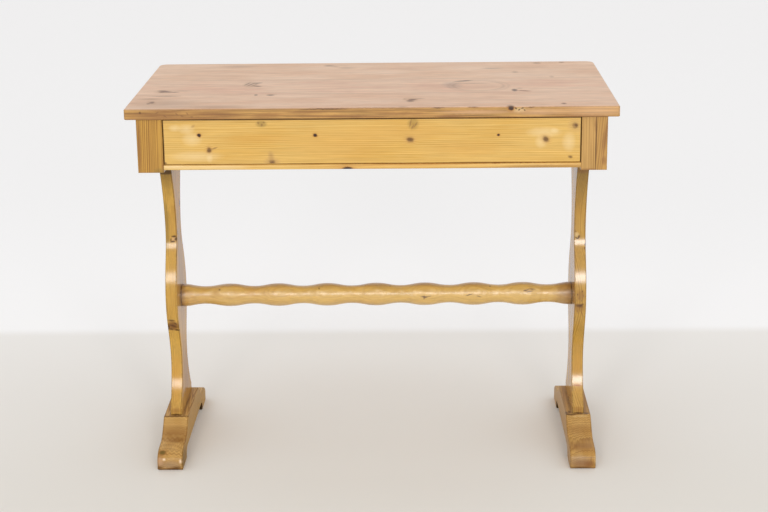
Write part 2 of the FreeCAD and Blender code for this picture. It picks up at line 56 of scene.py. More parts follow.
# Spots in the wood: knots, stains, dirt and cracks, and some painted shade, shadow and highlights. Each look is a row
# of (distance, colour, strength) from the middle of the spot, 0, to the end of its reach, 1. Where the grain spreads
# apart round it, parts says how far. A wash lies under the others, and a straight one keeps its clean outline.
spotLooks = {
    "blackKnot": {
        "row": [(0, "#26140A", 1), (0.34, "#3A1E0E", 1), (0.46, "#7A4A1C", 0.7), (0.62, "#B87A30", 0.3),
                (1, "#C98F3F", 0)], "parts": 0.75},
    "brownKnot": {
        "row": [(0, "#5A3A20", 0.95), (0.16, "#6E4826", 0.9), (0.27, "#3F2412", 0.9), (0.36, "#94602C", 0.7),
                (0.6, "#BE8338", 0.3), (1, "#C98F3F", 0)], "parts": 0.8},
    "softKnot": {
        "row": [(0, "#6B4A33", 0.75), (0.25, "#7A5636", 0.65), (0.42, "#A57B4E", 0.35), (1, "#B98F63", 0)],
        "parts": 0.7},
    "oliveKnot": {
        "row": [(0, "#5C4A1E", 0.95), (0.38, "#6E5522", 0.9), (0.5, "#8A5A24", 0.6), (0.65, "#A8743A", 0.25),
                (1, "#B8843A", 0)], "parts": 0.6},
    "outline": {
        "row": [(0, "#D2A888", 0.15), (0.60, "#C89C78", 0.12), (0.70, "#86603F", 0.30), (0.77, "#9A7454", 0.08),
                (0.84, "#8E6848", 0.20), (0.92, "#9A7454", 0), (1, "#9A7454", 0)], "parts": 0.55},
    "crack": {"row": [(0, "#3E2208", 0.95), (0.5, "#482A0E", 0.8), (1, "#6B4522", 0)]},
    "hairline": {"row": [(0, "#6A4428", 0.6), (0.5, "#7A5230", 0.45), (1, "#8C6238", 0)]},
    "rust": {"row": [(0, "#8A3A12", 0.7), (0.5, "#A04A1C", 0.5), (1, "#B86A30", 0)]},
    "speck": {"row": [(0, "#4A2A0E", 0.85), (0.5, "#5C3A18", 0.6), (1, "#7A5634", 0)]},
    "faint": {"row": [(0, "#8A6242", 0.45), (0.5, "#96704C", 0.3), (1, "#A67E58", 0)], "parts": 0.2},
    # umber stains; on the drawer rail's lower edge and below the case on the right end board, painted shade
    "umber": {"row": [(0, "#7A4A26", 0.55), (0.5, "#80502A", 0.4), (1, "#8C5C34", 0)], "wash": True},
    "grey": {"row": [(0, "#8A7A70", 0.45), (0.5, "#92827A", 0.28), (1, "#9A8A7E", 0)], "wash": True},
    "olive": {"row": [(0, "#7A6228", 0.55), (0.6, "#806A30", 0.4), (1, "#8C7438", 0)], "wash": True},
    "pink": {"row": [(0, "#E0B48E", 0.5), (0.6, "#DEB088", 0.3), (1, "#DCAE86", 0)], "wash": True},
    # pale bleached wood; on the drawer rail a painted highlight
    "bleach": {"row": [(0, "#EBD2A0", 0.5), (0.6, "#E9CE98", 0.32), (1, "#E6C88C", 0)], "wash": True},
    "amber": {"row": [(0, "#C98C30", 0.25), (0.6, "#CB9036", 0.16), (1, "#D09840", 0)], "wash": True},
    # painted shade
    "shade": {"row": [(0, "#5A4212", 0.6), (0.5, "#604818", 0.42), (1, "#70561E", 0)], "wash": True},
    # painted shadow, near black, below the case
    "deep": {"row": [(0, "#4A2E08", 0.9), (0.7, "#4E320A", 0.8), (1, "#5E4418", 0)], "wash": True},
    # painted highlight: pale spots where a lamp glints on a foot's toe
    "worn": {"row": [(0, "#F6DEC4", 0.9), (0.4, "#F2D6B4", 0.65), (1, "#E6C294", 0)]},
    "bark": {"row": [(0, "#6A3E14", 0.8), (0.6, "#74461A", 0.65), (1, "#8C5C28", 0)], "parts": 0.3, "wash": True},
    "topSpeck": {"row": [(0, "#54290E", 0.85), (0.5, "#643818", 0.65), (1, "#8C603C", 0)]},
    # dark joints; where the case meets the top they are also painted shadow
    "joint": {"row": [(0, "#3A2210", 0.9), (0.5, "#4A2C14", 0.7), (1, "#7A5028", 0)], "straight": True},
    "seam": {"row": [(0, "#7A5538", 0.5), (0.5, "#85603F", 0.4), (1, "#957050", 0)], "straight": True},
    "cove": {"row": [(0, "#7E5420", 0.75), (0.55, "#835824", 0.6), (1, "#8C5C34", 0)], "wash": True},
    # painted shadow, near black, under the feet's arches
    "soot": {"row": [(0, "#1C1408", 1), (0.7, "#241A0C", 0.95), (1, "#5A4020", 0)], "straight": True},
    # painted shade along the creases where an end board stands on its foot
    "dust": {"row": [(0, "#6A4A24", 0.55), (0.5, "#745228", 0.45), (1, "#8A6434", 0)], "straight": True},
    "plumKnot": {
        "row": [(0, "#543010", 0.9), (0.26, "#5E3A18", 0.82), (0.40, "#906438", 0.55), (0.6, "#C09050", 0.3),
                (1, "#CE9C50", 0)], "parts": 0.7},
}


def distance(tree, place, at, half, turn):
    # From a spot's middle, 0, to the end of its reach, 1, measured in its own half sizes.
    inSpot = addNode(tree, "Mapping", {
        "vector_type": "TEXTURE", "Vector": place, "Location": mm(*at), "Scale": mm(*half),
        "Rotation": tuple(math.radians(a) for a in turn)})
    return addNode(tree, "VectorMath", {"operation": "LENGTH", 0: inSpot}, "Value")


def addSpots(tree, place, ragged, colour, spots):
    # Lays the spots over a colour: broad washes first, and knots and cracks over them.
    for look, at, half, turn in sorted(spots, key=lambda spot: not spotLooks[spot[0]].get("wash")):
        away = distance(tree, place if spotLooks[look].get("straight") else ragged, at, half, turn)
        ramp = tree.nodes.new("ShaderNodeValToRGB")
        row = spotLooks[look]["row"]
        while len(ramp.color_ramp.elements) < len(row):
            ramp.color_ramp.elements.new(0.5)    # the loop below moves it to its place
        for stop, (share, code, strength) in zip(ramp.color_ramp.elements, row):
            stop.position, stop.color = share, linear(code, strength)
        tree.links.new(away, ramp.inputs[0])
        colour = addNode(tree, "Mix", {
            "data_type": "RGBA", 0: ramp.outputs["Alpha"], 6: colour, 7: ramp.outputs["Color"]}, 2)
    return colour


def partGrain(tree, place, spots):
    # Draws the grain's coordinates apart round each knot: P + (P - knot) x -parts, fading out past the knot's reach.
    fadeOut = 1.1    # of the knot's reach
    grown = place
    for look, at, half, turn in spots:
        parts = spotLooks[look].get("parts")
        if not parts:
            continue
        away = distance(tree, place, at, half, turn)
        pull = addNode(tree, "MapRange", {
            "interpolation_type": "SMOOTHSTEP", "Value": away, "From Min": 0.0, "From Max": fadeOut, "To Min": -parts,
            "To Max": 0.0})
        offset = addNode(tree, "VectorMath", {"operation": "SUBTRACT", 0: place, 1: mm(*at)})
        offset = addNode(tree, "VectorMath", {"operation": "SCALE", 0: offset, "Scale": pull})
        grown = addNode(tree, "VectorMath", {"operation": "ADD", 0: grown, 1: offset})
    return grown


def streaks(tree, local, length, width, detail, roughness):
    # Noise drawn out along the fibres, in streaks of about length by width mm.
    drawn = addNode(tree, "Mapping", {"Vector": local, "Scale": (1000 / length, 1000 / width, 1000 / width)})
    return addNode(tree, "TexNoise", {"Vector": drawn, "Scale": 1.0, "Detail": detail, "Roughness": roughness}, "Fac")


grainTurn = {"x": (0, 0, 0), "y": (0, 0, 90), "z": (0, -90, 0)}    # turns each grain direction to local X

# What every piece of pine has unless its own dictionary says otherwise. Lengths in mm.
pine = {
    "grain": "x", "heart": (0, -300, 700), "lean": (0, 0),   # the tree's centre line, and its tilt in degrees
    "ring": 3.4,             # one year of growth; slow northern pine has 1 to 2 mm, drawn coarser so that it shows
    "late": 0.34,            # share of the year that is dark late wood
    "ringShow": 0.75, "waver": 5.0, "taper": 0.010,
    "earlyHex": "#E3B878", "lateHex": "#C48A42", "tintHex": "#C99A66", "tint": 0.5,
    "band": (200, 6), "bandShow": 0.09,      # streaks: length and width, and how much lighter or darker
    "hair": (55, 2.2), "hairShow": 0.08,     # fibres are finer than 0.1 mm, drawn as bundles near 2 mm that show
    "rough": 0.45, "ior": 1.5, "gloss": 0.3, "coat": 0.3, "coatRough": 0.24, "coatIor": 1.5, "bump": 0.05,
    "spots": [],
}
# A piece may also have ripple (width, height), faded colours for what looks up, with edgeLine (length, width,
# strength), flank (colour, strength, share of the coat, roughness), arris (width, colour, strength), rim (middle,
# half width, reach, colour, strength) and dents (size, depth).

# How pine grows and wears, the same in every piece. A scale is in waves per metre, along and across the fibres, and
# a pair of noise values says where a change starts and where it is complete.
growth = {
    "wander": (3.2, 13, 13),              # the trunk's slow bends
    "drift": (0.23, 3.0),                 # wide and narrow years: waves per year, and years gained or lost
    "lateFull": 0.86, "lateEnd": 0.92,    # late wood is full, then ends sharply, at these shares of a year
    "patch": (6, 22, 22),                 # places where the figure is strong or weak
    "patchShow": (0.3, 0.62), "patchLeast": 0.35, "patchTint": (0.42, 0.68), "patchRough": (0.3, 0.7),
    "bandTone": (0.28, 0.72), "hairTone": (0.25, 0.75), "lineTone": (0.36, 0.62),
    "ragged": (160, 3),                   # outlines of knots and stains: waves per metre, and reach in mm
    "roughSway": 0.07, "lateProud": 0.8, "flankLate": 0.62,
    "arrisGain": 1.9,                     # makes up for the streaks that break a worn arris up
}
# How far a face's normal leans up or aside, from where it starts to count to where it counts in full.
faceLean = {"up": (0.45, 0.95), "aside": (0.6, 0.95), "narrow": (0.35, 0.8)}


def pineMaterial(name, piece, **own):
    # A solid block of wood: year rings round the tree's centre, in the piece's Object coordinates (the table's own
    # frame), so faces, edges and end grain of one board agree. Distance from the centre line / ring width = years.
    cut = {**pine, **own}
    material = bpy.data.materials.new(name)
    material.use_nodes = True
    tree = material.node_tree
    tree.nodes.clear()
    place = addNode(tree, "TexCoord", {}, "Object")

    # the knots' and stains' outlines are a little ragged
    waves, reach = growth["ragged"]
    jitter = addNode(tree, "TexNoise", {"Vector": place, "Scale": waves, "Detail": 2.0}, "Color")
    ragged = addNode(tree, "VectorMath", {"operation": "MULTIPLY_ADD", 0: jitter, 1: mm(*[reach] * 3), 2: place})
    ragged = addNode(tree, "VectorMath", {"operation": "SUBTRACT", 0: ragged, 1: mm(*[reach / 2] * 3)})

    grown = partGrain(tree, place, cut["spots"])
    turn = [a + b for a, b in zip(grainTurn[cut["grain"]], (0,) + tuple(cut["lean"]))]
    local = addNode(tree, "Mapping", {
        "vector_type": "TEXTURE", "Vector": grown, "Location": mm(*cut["heart"]),
        "Rotation": tuple(math.radians(a) for a in turn)})

    # the trunk wanders: slow noise, long along the fibres
    slow = addNode(tree, "Mapping", {"Vector": local, "Scale": growth["wander"]})
    wander = addNode(tree, "TexNoise", {"Vector": slow, "Scale": 1.0, "Detail": 2.5, "Roughness": 0.45}, "Color")
    wide = 2 * cut["waver"]
    bent = addNode(tree, "VectorMath", {"operation": "MULTIPLY_ADD", 0: wander, 1: mm(0, wide, wide), 2: local})
    across = addNode(tree, "VectorMath", {"operation": "MULTIPLY", 0: bent, 1: (0, 1, 1)})
    radius = addNode(tree, "VectorMath", {"operation": "LENGTH", 0: across}, "Value")
    along = addNode(tree, "SeparateXYZ", {0: local}, 0)
    radius = addNode(tree, "Math", {"operation": "MULTIPLY_ADD", 0: along, 1: cut["taper"], 2: radius})
    if "ripple" in cut:
        # curly grain: the rings run in small waves, height x sine across the board
        width, height = cut["ripple"]
        wave = addNode(tree, "SeparateXYZ", {0: local}, 1)
        wave = addNode(tree, "Math", {"operation": "MULTIPLY", 0: wave, 1: 2000 * math.pi / width})
        wave = addNode(tree, "Math", {"operation": "SINE", 0: wave})
        radius = addNode(tree, "Math", {"operation": "MULTIPLY_ADD", 0: wave, 1: height / 1000, 2: radius})
    years = addNode(tree, "Math", {"operation": "DIVIDE", 0: radius, 1: cut["ring"] / 1000})
    waves, gained = growth["drift"]
    drift = addNode(tree, "TexNoise", {"noise_dimensions": "1D", "W": years, "Scale": waves, "Detail": 1.0}, "Fac")
    years = addNode(tree, "Math", {"operation": "MULTIPLY_ADD", 0: drift, 1: gained, 2: years})
    season = addNode(tree, "Math", {"operation": "FRACT", 0: years})
    rise = addNode(tree, "MapRange", {
        "interpolation_type": "SMOOTHSTEP", "Value": season, "From Min": 1 - 2 * cut["late"],
        "From Max": growth["lateFull"]})
    drop = addNode(tree, "MapRange", {
        "Value": season, "From Min": growth["lateEnd"], "From Max": 1.0, "To Min": 1.0, "To Max": 0.0})
    late = addNode(tree, "Math", {"operation": "MULTIPLY", 0: rise, 1: drop})

    # the figure comes and goes along the board
    patches = addNode(tree, "Mapping", {"Vector": local, "Scale": growth["patch"]})
    patchy = addNode(tree, "TexNoise", {"Vector": patches, "Scale": 1.0, "Detail": 3.0, "Roughness": 0.55}, "Fac")
    weak, strong = growth["patchShow"]
    show = addNode(tree, "MapRange", {
        "Value": patchy, "From Min": weak, "From Max": strong, "To Min": growth["patchLeast"] * cut["ringShow"],
        "To Max": cut["ringShow"]})
    lateShow = addNode(tree, "Math", {"operation": "MULTIPLY", 0: late, 1: show})
    colour = addNode(tree, "Mix", {
        "data_type": "RGBA", 0: lateShow, 6: linear(cut["earlyHex"]), 7: linear(cut["lateHex"])}, 2)
    if "fadedEarlyHex" in cut:
        # sun and washing have faded what looks up
        start, full = faceLean["up"]
        sky = addNode(tree, "SeparateXYZ", {0: addNode(tree, "TexCoord", {}, "Normal")}, 2)
        sky = addNode(tree, "MapRange", {
            "interpolation_type": "SMOOTHSTEP", "Value": sky, "From Min": start, "From Max": full})
        faded = addNode(tree, "Mix", {
            "data_type": "RGBA", 0: lateShow, 6: linear(cut["fadedEarlyHex"]), 7: linear(cut["fadedLateHex"])}, 2)
        colour = addNode(tree, "Mix", {"data_type": "RGBA", 0: sky, 6: colour, 7: faded}, 2)
    else:
        sky = None
    weak, strong = growth["patchTint"]
    tinted = addNode(tree, "MapRange", {
        "interpolation_type": "SMOOTHSTEP", "Value": patchy, "From Min": weak, "From Max": strong, "To Min": 0.0,
        "To Max": cut["tint"]})
    tint = linear(cut["tintHex"])
    if sky:
        tint = addNode(tree, "Mix", {"data_type": "RGBA", 0: sky, 6: tint, 7: linear(cut["fadedTintHex"])}, 2)
    colour = addNode(tree, "Mix", {"data_type": "RGBA", 0: tinted, 6: colour, 7: tint}, 2)

    # streaks and fibres
    streak = streaks(tree, local, *cut["band"], 4.0, 0.6)
    fibre = streaks(tree, local, *cut["hair"], 2.0, 0.5)
    for noise, (dark, light), amount in ((streak, growth["bandTone"], cut["bandShow"]),
                                         (fibre, growth["hairTone"], cut["hairShow"])):
        shade = addNode(tree, "MapRange", {
            "Value": noise, "From Min": dark, "From Max": light, "To Min": 1 - amount, "To Max": 1 + amount})
        colour = addNode(tree, "Mix", {"data_type": "RGBA", "blend_type": "MULTIPLY", 0: 1.0, 6: colour, 7: shade}, 2)

    if "edgeLine" in cut:
        # planed edges show their fibres as crisp lines
        length, width, strength = cut["edgeLine"]
        line = streaks(tree, local, length, width, 3.0, 0.6)
        dark, light = growth["lineTone"]
        line = addNode(tree, "MapRange", {
            "Value": line, "From Min": dark, "From Max": light, "To Min": 1 - strength, "To Max": 1 + strength / 2})
        upright = addNode(tree, "Math", {"operation": "SUBTRACT", 0: 1.0, 1: sky})
        colour = addNode(tree, "Mix", {
            "data_type": "RGBA", "blend_type": "MULTIPLY", 0: upright, 6: colour, 7: line}, 2)

    if "flank" in cut or "rim" in cut:
        aside = addNode(tree, "SeparateXYZ", {0: addNode(tree, "TexCoord", {}, "Normal")}, 0)
        aside = addNode(tree, "Math", {"operation": "ABSOLUTE", 0: aside})    # 1 where a face looks left or right
    if "flank" in cut:
        # broad faces that look aside are duller, but planed smooth: an end board mirrors what joins it
        code, strength, thin, smooth = cut["flank"]
        start, full = faceLean["aside"]
        lean = {"Value": aside, "From Min": start, "From Max": full}
        varnish = addNode(tree, "MapRange", {**lean, "To Min": cut["coat"], "To Max": cut["coat"] * thin})
        planed = addNode(tree, "MapRange", lean)
        dulled = addNode(tree, "MapRange", {**lean, "To Min": 0.0, "To Max": strength})
        early = linear(code)
        darker = tuple(growth["flankLate"] * c for c in early[:3]) + (1,)
        dull = addNode(tree, "Mix", {"data_type": "RGBA", 0: lateShow, 6: early, 7: darker}, 2)
        colour = addNode(tree, "Mix", {"data_type": "RGBA", 0: dulled, 6: colour, 7: dull}, 2)
    else:
        varnish = cut["coat"]

    colour = addSpots(tree, place, ragged, colour, cut["spots"])

    # dirt or wear along the arrises: distance to the second nearest face of the piece's box
    if "arris" in cut:
        width, code, strength = cut["arris"]
        low, high = (Vector(c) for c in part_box(piece))
        inside = addNode(tree, "VectorMath", {"operation": "SUBTRACT", 0: ragged, 1: tuple((low + high) / 2)})
        inside = addNode(tree, "VectorMath", {"operation": "ABSOLUTE", 0: inside})
        inside = addNode(tree, "VectorMath", {"operation": "SUBTRACT", 0: tuple((high - low) / 2), 1: inside})
        gaps = tree.nodes.new("ShaderNodeSeparateXYZ")
        tree.links.new(inside, gaps.inputs[0])
        least = addNode(tree, "Math", {"operation": "MINIMUM", 0: gaps.outputs[0], 1: gaps.outputs[1]})
        most = addNode(tree, "Math", {"operation": "MAXIMUM", 0: gaps.outputs[0], 1: gaps.outputs[1]})
        most = addNode(tree, "Math", {"operation": "MINIMUM", 0: most, 1: gaps.outputs[2]})
        second = addNode(tree, "Math", {"operation": "MAXIMUM", 0: least, 1: most})
        worn = addNode(tree, "MapRange", {
            "interpolation_type": "SMOOTHSTEP", "Value": second, "From Min": 0.0, "From Max": width / 1000,
            "To Min": strength, "To Max": 0.0})
        worn = addNode(tree, "Math", {"operation": "MULTIPLY", 0: worn, 1: streak})
        worn = addNode(tree, "Math", {"operation": "MULTIPLY", 0: worn, 1: growth["arrisGain"], "use_clamp": True})
        colour = addNode(tree, "Mix", {"data_type": "RGBA", 0: worn, 6: colour, 7: linear(code)}, 2)

    # a sawn board's narrow faces darken towards its sides
    if "rim" in cut:
        middle, half, width, code, strength = cut["rim"]
        split = addNode(tree, "SeparateXYZ", {0: ragged}, 0)
        split = addNode(tree, "Math", {"operation": "SUBTRACT", 0: split, 1: middle / 1000})
        split = addNode(tree, "Math", {"operation": "ABSOLUTE", 0: split})
        rim = addNode(tree, "MapRange", {
            "interpolation_type": "SMOOTHSTEP", "Value": split, "From Min": (half - width) / 1000,
            "From Max": half / 1000, "To Min": 0.0, "To Max": strength})
        start, full = faceLean["narrow"]
        narrow = addNode(tree, "MapRange", {
            "Value": aside, "From Min": start, "From Max": full, "To Min": 1.0, "To Max": 0.0})
        rim = addNode(tree, "Math", {"operation": "MULTIPLY", 0: rim, 1: narrow})
        colour = addNode(tree, "Mix", {"data_type": "RGBA", 0: rim, 6: colour, 7: linear(code)}, 2)

    # hard late wood stands a little proud of worn early wood
    height = addNode(tree, "Math", {"operation": "MULTIPLY_ADD", 0: lateShow, 1: growth["lateProud"], 2: streak})
    if "dents" in cut:
        # spokeshave, lathe and brush leave slow dents, which break the lamps' reflections up
        size, depth = cut["dents"]
        dent = addNode(tree, "TexNoise", {"Vector": place, "Scale": 1000 / size, "Detail": 1.0}, "Fac")
        height = addNode(tree, "Math", {"operation": "MULTIPLY_ADD", 0: dent, 1: depth / cut["bump"], 2: height})
    normal = addNode(tree, "Bump", {"Strength": 1.0, "Distance": cut["bump"] / 1000, "Height": height})
    weak, strong = growth["patchRough"]
    sway = growth["roughSway"]
    rough = addNode(tree, "MapRange", {
        "Value": patchy, "From Min": weak, "From Max": strong, "To Min": cut["rough"] - sway,
        "To Max": cut["rough"] + sway})
    if "flank" in cut:
        rough = addNode(tree, "Mix", {"data_type": "FLOAT", 0: planed, 2: rough, 3: smooth}, 0)
    shader = addNode(tree, "BsdfPrincipled", {
        "Base Color": colour, "Roughness": rough, "Normal": normal, "IOR": cut["ior"],
        "Specular IOR Level": cut["gloss"], "Coat Weight": varnish, "Coat Roughness": cut["coatRough"],
        "Coat IOR": cut["coatIor"]})
    tree.links.new(shader, tree.nodes.new("ShaderNodeOutputMaterial").inputs["Surface"])
    return material


def dress(piece, material):
    # Gives a CAD piece its material, in every slot that it has.
    slots = nodes[piece].material_slots
    for slot in slots:
        slot.material = material
    if not slots:
        nodes[piece].data.materials.append(material)


# Where the flat faces lie: the top's upper face and front edge, the front of posts and drawer, the apron's back.
faces = {"top": 762, "edge": -251.5, "case": -247.5, "back": 219.5}


def lay(*spots, z=None):
    # Spots on a face that looks up: a look, the middle, the half sizes and, where it isn't 0, the turn about Z. On a
    # flat face at height z the middle is only x and y.
    return [(look, at if z is None else (*at, z), half, (0, 0, sum(turn))) for look, at, half, *turn in spots]


def front(*spots, y=None):
    # The same on a face that looks at the sitter: turned about Y, and at depth y the middle is only x and z.
    return [(look, at if y is None else (at[0], y, at[1]), half, (0, sum(turn), 0))
            for look, at, half, *turn in spots]


# The top: three boards, hand planed, waxed and faded.
# Old wax on a worn top: pinkish tan, silky rather than shiny, with long fine streaks and grey-brown knots.
topWax = {"grain": "x", "ring": 5.5, "ringShow": 0.6, "waver": 6, "taper": 0.012, "late": 0.4,
          "earlyHex": "#BE9150", "lateHex": "#8E6230", "tintHex": "#A2723C", "fadedEarlyHex": "#DCB697",
          "fadedLateHex": "#C39776", "fadedTintHex": "#CFA081", "tint": 0.32, "band": (130, 8), "bandShow": 0.10,
          "hair": (30, 6), "hairShow": 0.09, "edgeLine": (110, 1.7, 0.36),
          "rough": 0.42, "gloss": 0.5, "coat": 0.0}
top = {
    "top_board_front": {
        **topWax, "heart": (0, -430, 640), "lean": (0.4, 0.3), "arris": (2.2, "#8A5A38", 0.5),
        "spots": lay(
            ("seam", (0, -105.5), (700, 2.2, 3)), ("softKnot", (-429, -187), (12, 26, 14), 20),
            ("topSpeck", (-428, -186), (6, 14, 6)), ("topSpeck", (-434, -197), (5, 9, 6)),
            ("faint", (-436, -150), (30, 14, 12)), ("hairline", (-412, -121), (40, 8, 6)),
            ("softKnot", (77, -177), (20, 32, 14)), ("topSpeck", (74, -188), (9, 12, 6), 20),
            ("topSpeck", (80, -174), (11, 9, 6), 10), ("faint", (64, -168), (6, 10, 6)),
            ("faint", (92, -164), (14, 10, 8), 15), ("topSpeck", (369, -224), (7, 10, 4)),
            ("speck", (-232, -115), (5, 10, 4)), ("topSpeck", (-203, -118), (9, 10, 6), 60),
            ("faint", (-200, -108), (14, 14, 6), 40), ("faint", (60, -243), (12, 8, 5)),
            ("speck", (266, -250), (9, 22, 8)), ("faint", (-400, -200), (90, 60, 12)),
            ("faint", (-300, -235), (90, 24, 8)), z=faces["top"]
        ) + front(
            ("blackKnot", (266.1, 759.5), (11.5, 14, 10.5)), ("crack", (275.6, 758.6), (3.5, 4, 2), 30),
            ("crack", (282, 756.2), (3, 4, 2), -30), ("crack", (287.5, 758.6), (3.5, 4, 1.8), -20),
            ("crack", (291.5, 755.4), (3, 4, 1.8), 30), ("speck", (305, 760.4), (9, 4, 1.5)),
            ("bleach", (282, 755.5), (16, 5, 6)), ("crack", (-90, 760.2), (60, 4, 1.5), -0.4),
            ("crack", (127, 760.6), (16, 4, 1.3)), ("crack", (194, 761.6), (14, 4, 1.2)),
            ("hairline", (20, 761), (90, 4, 1.5), 0.3), ("umber", (-423, 749), (70, 12, 12)),
            ("umber", (-300, 752), (60, 12, 5), 2), ("umber", (-330, 744), (110, 12, 4)),
            ("umber", (-200, 748), (36, 12, 8), -4), ("umber", (-60, 746), (110, 12, 4)),
            ("umber", (60, 750), (70, 12, 4), 1), ("umber", (150, 745), (34, 12, 4)),
            ("pink", (200, 752), (90, 12, 5)), ("umber", (400, 743), (70, 12, 4)), ("pink", (430, 753), (90, 12, 12)),
            ("pink", (320, 752), (60, 12, 8)), ("umber", (-120, 754), (60, 12, 3)),
            ("umber", (-390, 757), (40, 12, 3), 3), ("hairline", (-372, 752), (5, 4, 2), 40),
            ("hairline", (-362, 748), (4.5, 4, 2), 20), ("hairline", (-352, 753), (5, 4, 2), 50),
            ("hairline", (-343, 747), (4, 4, 2)), ("hairline", (-395, 748), (6, 4, 2), 30),
            # the dark line along the lower edge is the joint with the case, darkened as painted shade
            ("hairline", (-410, 755), (6, 4, 2), -20), ("joint", (0, 741), (900, 5, 0.9)),
            ("speck", (-442, 755), (3.5, 4, 3), 60), y=faces["edge"]),
    },
    "top_board_middle": {
        **topWax, "heart": (0, -30, 655), "lean": (0.25, -0.2), "fadedTintHex": "#D29E86", "tint": 0.45,
        "ringShow": 0.4,
        "spots": lay(
            ("seam", (0, -105.5), (700, 2.2, 3)), ("seam", (0, 49.5), (700, 2.6, 3)),
            ("softKnot", (-420, -72), (24, 26, 10)), ("topSpeck", (-425, -66), (13, 9, 5), -14),
            ("topSpeck", (-413, -76), (12, 9, 5), -20), ("topSpeck", (-399, -79), (13, 6, 5)),
            ("topSpeck", (-424, -80), (9, 6, 5)), ("faint", (-385, -66), (22, 9, 5), -4),
            ("topSpeck", (-260, 6), (3.2, 22, 4), -16), ("topSpeck", (-252, 0), (3.0, 26, 4), -18),
            ("hairline", (-244, -6), (3, 24, 4), -20), ("topSpeck", (-240, 14), (14, 7, 4), 30),
            ("topSpeck", (-238, -20), (14, 7, 4), -30), ("faint", (-252, 0), (20, 40, 10)),
            ("outline", (213, -32), (73, 78, 24)), ("grey", (159, -23), (24, 46, 10), 10),
            ("crack", (184, 22), (26, 6, 4), 22), ("hairline", (200, -6), (50, 4, 4), -3),
            ("crack", (283, -83), (7.5, 17, 5)), ("rust", (302, -91), (18, 8, 4), -18),
            ("hairline", (300, -90), (20, 7, 4), -18), ("faint", (294, -64), (8, 8, 4)), z=faces["top"]),
    },
    "top_board_back": {
        **topWax, "heart": (0, 420, 610), "lean": (-0.3, 0.5), "fadedEarlyHex": "#DFBA9B", "fadedLateHex": "#C59A76",
        "fadedTintHex": "#D1A180", "ringShow": 0.45, "arris": (2.2, "#D8B48C", 0.4),
        "spots": lay(
            ("seam", (0, 49.5), (700, 2.6, 3)), ("hairline", (-102, 216), (14, 14, 5)),
            ("faint", (-88, 205), (12, 12, 5), 30), ("faint", (-62, 186), (26, 16, 6)),
            ("hairline", (350, 230), (12, 12, 4)), ("hairline", (404, 237), (8, 12, 4)),
            ("faint", (369, 64), (7, 14, 4)), ("faint", (296, 121), (9, 18, 4)), ("hairline", (250, 170), (30, 8, 3)),
            ("faint", (-300, 215), (60, 20, 5)), z=faces["top"]),
    },
}
for piece, look in top.items():
    dress(piece, pineMaterial("waxedPine_" + piece, piece, **look))
print("top done")

# The case: posts and aprons, of waxed pine that is darker than the drawer.
# Planed pine under old wax: olive to golden brown, a soft shine, upright grain on the front posts.
caseWax = {"ring": 3.4, "late": 0.36, "ringShow": 0.9, "waver": 2.5, "earlyHex": "#BC944A", "lateHex": "#80561E",
           "tintHex": "#A87C36", "tint": 0.3, "bandShow": 0.08, "hairShow": 0.10, "arris": (1.5, "#7A5422", 0.4)}
# The dark joint line at z 741, where each post and apron meets the top, is also painted shadow under the top's
# overhang.
case = {
    "front_post_left": {
        **caseWax, "grain": "z", "heart": (-300, -330, 690), "lean": (0.6, 0.8), "ring": 2.3, "ringShow": 1.0,
        "late": 0.4, "earlyHex": "#BE903E", "lateHex": "#84561A", "tintHex": "#B0823A",
        "arris": (1.5, "#6E4A1C", 0.45),
        "spots": front(
            ("joint", (-427, 741), (60, 6, 1.3)), ("umber", (-448, 690), (5, 8, 70)),
            ("umber", (-402, 650), (5, 8, 24)), ("olive", (-410, 638), (14, 8, 9)), y=faces["case"])},
    "front_post_right": {
        **caseWax, "grain": "z", "heart": (250, -260, 690), "lean": (0.0, 0.2), "late": 0.26,
        "earlyHex": "#C09656", "lateHex": "#8C602A", "waver": 2,
        "spots": front(
            ("joint", (415, 741), (60, 6, 1.3)), ("joint", (430, 692), (1.9, 8, 85)),
            ("umber", (428.5, 725), (3, 8, 20)), ("umber", (415, 637), (24, 8, 4)), y=faces["case"])},
    "corner_lath_right": {
        **caseWax, "grain": "z", "heart": (446, -258, 640), "lean": (3.0, 2.0), "ring": 3.0, "late": 0.34,
        "ringShow": 0.75, "earlyHex": "#B88C4A", "lateHex": "#7A4E1F", "taper": 0.03, "waver": 3,
        "spots": front(
            ("joint", (441, 741), (30, 6, 1.3)), ("joint", (430, 692), (1.6, 8, 85)),
            ("umber", (447, 700), (7, 8, 40), 8), ("umber", (446, 655), (6, 8, 12)), y=faces["case"])},
    "side_apron_left": {
        **caseWax, "grain": "y", "heart": (-700, 0, 900), "lean": (0, 0.4), "ring": 3.8,
        "spots": [
            ("brownKnot", (-452, 60, 700), (20, 26, 20), (0, 0, 0)),
            ("joint", (-452, 0, 741), (6, 500, 1.3), (0, 0, 0)),
            ("softKnot", (-452, -120, 670), (20, 22, 15), (20, 0, 0))]},
    "side_apron_right": {
        **caseWax, "grain": "y", "heart": (720, 30, 480), "lean": (0, -0.3), "ring": 4.2,
        "spots": [
            ("brownKnot", (452, -40, 672), (20, 22, 18), (0, 0, 0)),
            ("joint", (452, 0, 741), (6, 500, 1.3), (0, 0, 0)),
            ("softKnot", (452, 130, 712), (20, 26, 16), (-15, 0, 0))]},
    "back_apron": {
        **caseWax, "grain": "x", "heart": (0, 420, 960), "lean": (0.5, 0.3), "ring": 4.0,
        "spots": front(
            ("brownKnot", (-210, 700), (24, 14, 18)), ("brownKnot", (120, 668), (20, 14, 15), 10),
            ("softKnot", (310, 715), (26, 14, 18)), ("joint", (0, 741), (900, 6, 1.3)), y=faces["back"])},
}
for piece, look in case.items():
    dress(piece, pineMaterial("waxedPine_" + piece, piece, **look))
